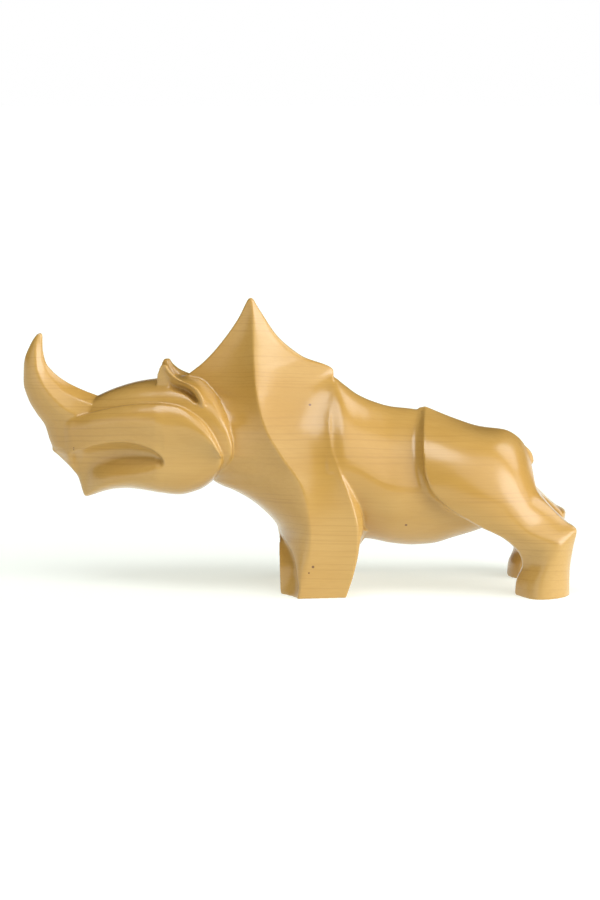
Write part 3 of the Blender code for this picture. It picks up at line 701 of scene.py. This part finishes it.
def fore_outline(station):
    """The neck panel, the shoulder panel and the leg's rear face, from front to back."""
    neck = along(NECK_LINE, station)
    ridge = along(SHOULDER_RIDGE, station)
    rear = along(REAR_RIDGE, station)
    neck_hollow, neck_swell, _, _, softness, strip = along(FORE_PANELS, station)
    reach, flute, front_back, rear_back, parted = along(FORELEG, station)
    shares = [reach * i / FLUTE_POINTS for i in range(FLUTE_POINTS)]
    shares += [reach + (1 - reach) * i / NECK_POINTS for i in range(NECK_POINTS)]
    front = []
    for u in shares:
        x, _, z = mix(neck, ridge, u)
        out = neck[1] + (ridge[1] - neck[1]) * rise(u, neck_swell) - neck_hollow * arch(u)
        if u < reach:
            out -= flute * arch(u / reach)
            x += flute * arch(u / reach)
        front.append([x, out, z])
    flank = []
    evened = min(SHOULDER_REACH, station, SHOULDER_ENDS - station)
    for i in range(FLANK_POINTS):
        u = math.sin(i / FLANK_POINTS * math.pi / 2)
        close = mix(on_shoulder(station - evened / 2, u), on_shoulder(station + evened / 2, u), 0.5)
        wide = mix(on_shoulder(station - evened, u), on_shoulder(station + evened, u), 0.5)
        flank.append(mix(on_shoulder(station, u), mix(close, wide, 0.5), SHOULDER_EVENING * arch(u)))
    behind = [rear[0] + strip, rear[1] - REAR_FACE_SLANT * strip, rear[2]]
    return (
        inner_corner(neck, front_back, parted)
        + softened(front + flank + [rear], softness)
        + [behind]
        + inner_corner(behind, rear_back, parted)[::-1]
    )


# Sections of the barrel and the hind form


def barrel_reach(x, z):
    """How far out the barrel comes at a place along it and a height."""
    top, bottom, width, widest, swell = along(BARREL, x)
    if z > widest:
        return width * rise(min((top - z) / (top - widest), 1.0), swell) if z < top else 0.0
    down = min((widest - z) / (widest - bottom), 1.0)
    return width * (1 - down ** BELLY_POWER) ** (1 / BELLY_POWER)


def barrel_outline(x):
    """Back and belly, from the top down."""
    top, bottom, width, widest, swell = along(BARREL, x)
    upper = stretch([x, 0.0, top], [x, width, widest], BACK_POINTS, swell)
    lower = bow([x, width, widest], [x, 0.0, bottom], BELLY_POINTS, BELLY_POWER)
    return upper + lower + [[x, 0.0, bottom]]


def hind_outline(station):
    """Rump, haunch and the cove in front of its edge, which runs down to the barrel."""
    rump = along(RUMP_LINE, station)
    edge = along(HAUNCH_EDGE, station)
    haunch = along(HAUNCH_SWELL, station)
    swell, bulge, softness, most_depth, length, rounding, parted = along(HAUNCH_PANELS, station)
    depth = min(edge[1] - barrel_reach(edge[0] - length, edge[2]), most_depth)
    cove = []
    for i in range(COVE_POINTS + 1):
        angle = i / COVE_POINTS * math.pi / 2
        cove.append([edge[0] - length * (1 - math.cos(angle)), edge[1] - depth * math.sin(angle), edge[2]])
    side = stretch(rump, haunch, FLANK_POINTS, swell) + stretch(haunch, edge, HAUNCH_POINTS, 0.0, -bulge)
    return (
        inner_corner(rump, -rounding, parted)
        + softened(side + [edge], softness)[:-1]
        + cove
        + inner_corner(cove[-1], rounding, parted)[::-1]
    )


# Sections of the head


def skull_outline(x):
    """The skull's crown and its underside, from the top down."""
    top, bottom, width, widest, swell = along(SKULL, x)
    upper = stretch([x, 0.0, top], [x, width, widest], BACK_POINTS, swell)
    return upper + bow([x, width, widest], [x, 0.0, bottom], CHIN_POINTS, SKULL_POWER) + [[x, 0.0, bottom]]


def cheek_outline(x):
    """The cheek's face, the hollow of the mouth and the jaw, from the top down."""
    top_out, top, upper_out, upper, lower_out, lower, jaw, depth = along(CHEEK, x)
    clear = min(1.0, (x - MUZZLE_TIP) / MUZZLE_LENGTH)
    face = []
    mouth = []
    for i in range(CHEEK_POINTS):
        u = i / CHEEK_POINTS
        bulge = CHEEK_BULGE * clear * early_arch(u)
        face.append([x, top_out + (upper_out - top_out) * u + bulge, top + (upper - top) * u])
        hollow = depth * early_arch(u)
        mouth.append([x, upper_out + (lower_out - upper_out) * u - hollow, upper + (lower - upper) * u])
    turned = min(max((x - JAW_TURNS) / (JAW_TURNED - JAW_TURNS), 0.0), 1.0)
    power = JAW_ROUND + (JAW_SQUARE - JAW_ROUND) * turned
    chin = bow([x, lower_out, lower], [x, 0.0, jaw], CHIN_POINTS, power)
    return [[x, 0.0, top - CHEEK_SINKS]] + face + mouth + chin + [[x, 0.0, jaw]]


def horn_outline(station):
    """The horn's side, its sharp ridge and its rear face, from front to back."""
    front = along(HORN_FRONT, station)
    ridge = along(HORN_RIDGE, station)
    edge = along(HORN_EDGE, station)
    back = along(HORN_BACK, station)
    rear = stretch(edge, back, HORN_REAR_POINTS, 0.0, -HORN_REAR_BULGE)
    return (
        stretch(front, ridge, HORN_FRONT_POINTS, HORN_SWELL)
        + stretch(ridge, edge, HORN_REAR_POINTS)
        + rear
        + [back]
    )


def ear_outline(height):
    """The ear's dished inner side, its rim and its outer side."""
    front_x, front_out, rim_x, rim_out, dish, thick = along(EAR, height)
    front = [front_x, front_out, height]
    rim = [rim_x, rim_out, height]
    outer_rim = [rim_x + RIM_WIDTH, rim_out - RIM_TURN, height]
    inside = []
    outside = []
    for i in range(EAR_POINTS):
        u = i / EAR_POINTS
        x, out, z = mix(front, rim, u)
        inside.append([x, out - dish * late_arch(u), z])
        x, out, z = mix(outer_rim, front, u)
        outside.append([x + thick * arch(u) / 2, out - (dish + thick) * arch(u), z])
    return inside + [rim] + outside


def hollow_outline(x):
    """A section of the wedge under the ear's rim: open outwards, round at its deep end."""
    roof, floor, mouth, depth = along(EAR_HOLLOW, x)
    made = [[x, mouth + HOLLOW_MOUTH, floor], [x, mouth + HOLLOW_MOUTH, roof]]
    for i in range(ARCH_POINTS + 1):
        angle = i / ARCH_POINTS * math.pi
        middle = (roof + floor) / 2
        made.append([x, mouth - depth * math.sin(angle), middle + (roof - floor) / 2 * math.cos(angle)])
    return made


# Sections of the tail and of the gaps


def tail_outline(height):
    """The stub's rounded rear face and its side, which runs into the rump."""
    x, width = along(TAIL, height)
    return [
        [x, 0.0, height],
        [x - TAIL_FACE_ROUNDING, width * TAIL_FACE_SHARE, height],
        [x - TAIL_ROUNDING, width, height],
        [TAIL_ROOT, width, height],
    ]


def gap_outline(table):
    """Sections of a slot that runs along the figure, round at the top."""
    def outline(x):
        top, width = along(table, x)
        made = []
        for i in range(ARCH_POINTS + 1):
            angle = i / ARCH_POINTS * math.pi / 2
            made.append([x, width * math.sin(angle), top - width * (1 - math.cos(angle))])
        return made + [[x, width, BELOW_GROUND]]
    return outline


# The carving


def to_metres(x, out, z, side):
    """A drawn point on the near or the far side, in metres."""
    return Vector((
        (x - DRAWN_MIDDLE) * SIZE.x / DRAWN_LENGTH,
        -side * out * SIZE.y / DRAWN_WIDTH,
        z * SIZE.z / DRAWN_HEIGHT,
    ))


def loft(outline, stations, side=None):
    """A closed form through the sections that outline(station) draws.

    With no side given, an outline is the near half of a section and is closed by its own mirror image.
    """
    rings = []
    for station in stations:
        points = outline(station)
        if side is None:
            ring = [to_metres(*p, NEAR) for p in points] + [to_metres(*p, FAR) for p in reversed(points)]
        else:
            ring = [to_metres(*p, side) for p in points]
        rings.append(ring)
    columns = len(rings[0])
    bm = bmesh.new()
    bmesh.ops.create_grid(bm, x_segments=columns, y_segments=len(rings) - 1, size=1.0)
    for vert in bm.verts:
        column = round((vert.co.x + 1) / 2 * columns)
        row = round((vert.co.y + 1) / 2 * (len(rings) - 1))
        vert.co = rings[row][column % columns]
    bmesh.ops.remove_doubles(bm, verts=bm.verts, dist=WELD)
    bmesh.ops.holes_fill(bm, edges=[e for e in bm.edges if e.is_boundary], sides=0)
    bmesh.ops.recalc_face_normals(bm, faces=bm.faces)
    return bm


def as_object(bm, name):
    """The form as an object of the scene."""
    mesh = bpy.data.meshes.new(name)
    bm.to_mesh(mesh)
    bm.free()
    made = bpy.data.objects.new(name, mesh)
    bpy.context.scene.collection.objects.link(made)
    return made


def apply_modifiers(piece):
    """Makes the piece's modifiers part of its mesh."""
    bpy.context.view_layer.update()
    deps = bpy.context.evaluated_depsgraph_get()
    mesh = bpy.data.meshes.new_from_object(piece.evaluated_get(deps))
    piece.modifiers.clear()
    piece.data = mesh


def cut(piece, cutter):
    """Takes away from the piece what the cutter covers."""
    step = piece.modifiers.new("gap", "BOOLEAN")
    step.operation = "DIFFERENCE"
    step.solver = "EXACT"
    step.object = cutter
    apply_modifiers(piece)
    bpy.data.objects.remove(cutter)


def carve_forms():
    """The separate forms of the figure, overlapping, with the gaps and the ears' hollows already cut."""
    fore = as_object(loft(fore_outline, evenly(FORE_PANELS, FORE_SECTIONS)), "fore")
    cut(fore, as_object(loft(gap_outline(FORE_GAP), between_rows(FORE_GAP, GAP_ROWS)), "fore_gap"))
    hind = as_object(loft(hind_outline, evenly(HAUNCH_PANELS, HIND_SECTIONS)), "hind")
    cut(hind, as_object(loft(gap_outline(HIND_GAP), between_rows(HIND_GAP, GAP_ROWS)), "hind_gap"))
    skull = as_object(loft(skull_outline, between_rows(SKULL, ROWS_BETWEEN)), "skull")
    forms = [
        fore,
        hind,
        skull,
        as_object(loft(barrel_outline, between_rows(BARREL, ROWS_BETWEEN)), "barrel"),
        as_object(loft(cheek_outline, between_rows(CHEEK, ROWS_BETWEEN)), "cheek"),
        as_object(loft(horn_outline, evenly(HORN_FRONT, HORN_SECTIONS)), "horn"),
        as_object(loft(tail_outline, between_rows(TAIL, ROWS_BETWEEN)), "tail"),
    ]
    for side in (NEAR, FAR):
        ear = as_object(loft(ear_outline, between_rows(EAR, ROWS_BETWEEN), side), "ear")
        for form in (fore, skull, ear):
            hollow = loft(hollow_outline, between_rows(EAR_HOLLOW, ROWS_BETWEEN), side)
            cut(form, as_object(hollow, "hollow"))
        forms.append(ear)
    return forms


def fuse(forms):
    """One body from the overlapping forms, with softened ridges and filled creases."""
    bm = bmesh.new()
    for form in forms:
        bm.from_mesh(form.data)
        bpy.data.objects.remove(form)
    figure = as_object(bm, "carved_rhinoceros")
    fusing = figure.modifiers.new("fusing", "REMESH")
    fusing.mode = "VOXEL"
    fusing.voxel_size = FUSED_FACE
    fusing.adaptivity = 0.0
    sanding = figure.modifiers.new("sanding", "SMOOTH")
    sanding.factor = SANDING_STRENGTH
    sanding.iterations = SANDING_PASSES
    apply_modifiers(figure)
    return figure


def thin_out(figure):
    """Fewer, larger faces where the surface is plain."""
    triangles = 2 * len(figure.data.polygons)
    step = figure.modifiers.new("fewer_faces", "DECIMATE")
    step.ratio = min(1.0, MOST_TRIANGLES / triangles)
    apply_modifiers(figure)


def stand(figure):
    """The soles flat on the ground, and the whole figure inside the box of the solid."""
    mesh = figure.data
    places = np.empty(len(mesh.vertices) * 3)
    mesh.vertices.foreach_get("co", places)
    places = places.reshape(-1, 3)
    lowest = places.min(axis=0)
    highest = places.max(axis=0)
    for axis in range(3):
        share = (high[axis] - low[axis]) / (highest[axis] - lowest[axis])
        places[:, axis] = low[axis] + (places[:, axis] - lowest[axis]) * share
    mesh.vertices.foreach_set("co", places.ravel())
    mesh.update()
    mesh.shade_smooth()


# The wood


def add(tree, kind, links, **settings):
    """A new node, its settings made, its inputs joined to sources or set to values by their names."""
    made = tree.nodes.new(kind)
    for name, value in settings.items():
        setattr(made, name, value)
    for name, source in links.items():
        if isinstance(source, bpy.types.NodeSocket):
            tree.links.new(source, made.inputs[name])
        else:
            made.inputs[name].default_value = source
    return made


def blended(tree, share, first, second):
    """The colour between two colours, by a share."""
    made = tree.nodes.new("ShaderNodeMix")
    made.data_type = "RGBA"
    for socket, source in ((made.inputs[0], share), (made.inputs[6], first), (made.inputs[7], second)):
        if isinstance(source, bpy.types.NodeSocket):
            tree.links.new(source, socket)
        else:
            socket.default_value = source
    return made.outputs[2]


def ranged(tree, value, taken, given, kind="SMOOTHSTEP"):
    """A value moved from the range taken to the range given, held at the ends."""
    made = add(tree, "ShaderNodeMapRange", {
        "Value": value,
        "From Min": taken[0],
        "From Max": taken[1],
        "To Min": given[0],
        "To Max": given[1],
    }, interpolation_type=kind)
    return made.outputs["Result"]


def stretched_noise(tree, place, scale, detail, roughness):
    """Noise on object coordinates that are stretched along each axis by scale."""
    mapped = add(tree, "ShaderNodeMapping", {"Vector": place, "Scale": scale})
    noise = add(tree, "ShaderNodeTexNoise", {
        "Vector": mapped.outputs["Vector"],
        "Scale": 1.0,
        "Detail": detail,
        "Roughness": roughness,
    })
    return noise.outputs["Fac"]


def knot_and_shade_mark(tree, place, spot, size):
    """How strongly a pin knot, and likewise a spot of painted shade, marks the surface near its place."""
    away = add(tree, "ShaderNodeVectorMath", {0: place, 1: spot}, operation="DISTANCE")
    return ranged(tree, away.outputs["Value"], (size * KNOT_AND_SHADE_CORE, size), FADING)


def growth_lines(tree, place):
    """How strongly late wood shows: in lines round the log's heart, that sway and fade in patches."""
    log = add(tree, "ShaderNodeMapping", {
        "Vector": place,
        "Location": LOG_MIDDLE,
        "Rotation": LOG_TILT,
        "Scale": LOG_ACROSS,
    }, vector_type="POINT")
    radius = add(tree, "ShaderNodeVectorMath", {0: log.outputs["Vector"]}, operation="LENGTH")
    swayed = add(tree, "ShaderNodeMath", {
        0: stretched_noise(tree, place, *SWAY_NOISE),
        1: RING_SWAY,
        2: radius.outputs["Value"],
    }, operation="MULTIPLY_ADD")
    rings = add(tree, "ShaderNodeTexNoise", {
        "W": swayed.outputs["Value"],
        "Scale": 1.0 / RING_WIDTH,
        "Detail": RING_DETAIL,
        "Roughness": RING_ROUGHNESS,
    }, noise_dimensions="1D")
    lines = add(tree, "ShaderNodeMath", {
        0: ranged(tree, rings.outputs["Fac"], LATE_WOOD_RANGE, WHOLE),
        1: ranged(tree, stretched_noise(tree, place, *PATCH_NOISE), PATCH_RANGE, PATCH_SHARE),
    }, operation="MULTIPLY")
    faint = add(tree, "ShaderNodeMath", {0: lines.outputs["Value"], 1: LINE_SHARE}, operation="MULTIPLY")
    return faint.outputs["Value"]


def wood_colour(tree, place, fibres):
    """Honey and cream in clouds, crossed by fibres and growth lines, with a few pin knots and two spots of
    painted shade in the mouth's notch.
    """
    clouds = stretched_noise(tree, place, *CLOUD_NOISE)
    colour = blended(tree, ranged(tree, clouds, CLOUD_RANGE, WHOLE), HONEY, CREAM)
    colour = blended(tree, ranged(tree, fibres, FIBRE_RANGE, FIBRE_SHARE), colour, FIBRE)
    colour = blended(tree, growth_lines(tree, place), colour, LATE_WOOD)
    # Pin knots, and two spots of painted shade in the notch of the mouth, in the same dark brown
    for spot, size in PIN_KNOTS_AND_NOTCH_SHADE:
        colour = blended(tree, knot_and_shade_mark(tree, place, spot, size), colour, KNOT_AND_SHADE)
    return colour


def satin_wood():
    """Pale wood cut along its length, under a satin coat."""
    material = bpy.data.materials.new("satin_wood")
    material.use_nodes = True
    tree = material.node_tree
    shader = tree.nodes["Principled BSDF"]
    place = tree.nodes.new("ShaderNodeTexCoord").outputs["Object"]
    fibres = stretched_noise(tree, place, *FIBRE_NOISE)
    rough = ranged(tree, fibres, GRAIN_RANGE, GRAIN_ROUGHNESS, "LINEAR")
    bump = add(tree, "ShaderNodeBump", {
        "Height": fibres,
        "Strength": GRAIN_RELIEF,
        "Distance": GRAIN_DEPTH,
    })
    tree.links.new(wood_colour(tree, place, fibres), shader.inputs["Base Color"])
    tree.links.new(rough, shader.inputs["Roughness"])
    tree.links.new(bump.outputs["Normal"], shader.inputs["Normal"])
    shader.inputs["Specular IOR Level"].default_value = WOOD_SHINE
    shader.inputs["Coat Weight"].default_value = COAT_WEIGHT
    shader.inputs["Coat Roughness"].default_value = COAT_ROUGHNESS
    shader.inputs["Coat IOR"].default_value = COAT_IOR
    return material


# The studio


def sun(name, round_from_front, height, width, strength):
    """A soft light that falls evenly, by its angles round from the front and above the floor."""
    light = bpy.data.lights.new(name, "SUN")
    light.energy = strength
    light.angle = width
    turn = math.radians(round_from_front)
    up = math.radians(height)
    direction = Vector((math.sin(turn) * math.cos(up), -math.cos(turn) * math.cos(up), math.sin(up)))
    lamp = bpy.data.objects.new(name, light)
    lamp.rotation_euler = direction.to_track_quat("Z", "Y").to_euler()
    bpy.context.scene.collection.objects.link(lamp)


def studio():
    """Soft lights all round, the strongest from the front right, and a bright edge where the floor ends."""
    scene = bpy.context.scene
    scene.view_settings.view_transform = "Standard"
    world = bpy.data.worlds.new("studio")
    scene.world = world
    world.use_nodes = True
    tree = world.node_tree
    direction = tree.nodes.new("ShaderNodeTexCoord").outputs["Generated"]
    parts = add(tree, "ShaderNodeSeparateXYZ", {"Vector": direction})
    background = tree.nodes["Background"]
    background.inputs["Color"].default_value = WHITE
    strength = ranged(tree, parts.outputs["Z"], EDGE_FADES, FADING)
    tree.links.new(strength, background.inputs["Strength"])
    for light in SUNS:
        sun(*light)


def floor():
    """A plain pale floor that glows a little, so that it is as white as the backdrop."""
    bm = bmesh.new()
    bmesh.ops.create_grid(bm, x_segments=1, y_segments=1, size=FLOOR_REACH)
    ground = as_object(bm, "floor")
    material = bpy.data.materials.new("pale_floor")
    material.use_nodes = True
    shader = material.node_tree.nodes["Principled BSDF"]
    shader.inputs["Base Color"].default_value = FLOOR_COLOUR
    shader.inputs["Roughness"].default_value = FLOOR_ROUGHNESS
    shader.inputs["Specular IOR Level"].default_value = FLOOR_SHINE
    shader.inputs["Emission Color"].default_value = FLOOR_GLOW_COLOUR
    shader.inputs["Emission Strength"].default_value = FLOOR_GLOW
    ground.data.materials.append(material)


def camera():
    """Looks at the figure's near side from a little above."""
    away = Vector((0.0, -math.cos(CAMERA_ELEVATION), math.sin(CAMERA_ELEVATION)))
    lens = bpy.data.cameras.new("camera")
    lens.lens = CAMERA_LENS
    lens.sensor_width = CAMERA_SENSOR
    seen = bpy.data.objects.new("camera", lens)
    seen.location = Vector(CAMERA_AIM) + away * CAMERA_DISTANCE
    seen.rotation_euler = (-away).to_track_quat("-Z", "Y").to_euler()
    bpy.context.scene.collection.objects.link(seen)
    bpy.context.scene.camera = seen


def main():
    """Sets the stage, then carves the figure and stands it on the floor."""
    camera()
    studio()
    floor()
    figure = fuse(carve_forms())
    thin_out(figure)
    stand(figure)
    figure.data.materials.clear()
    figure.data.materials.append(satin_wood())
    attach(figure, "root")
    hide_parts("rhinoceros")


main()
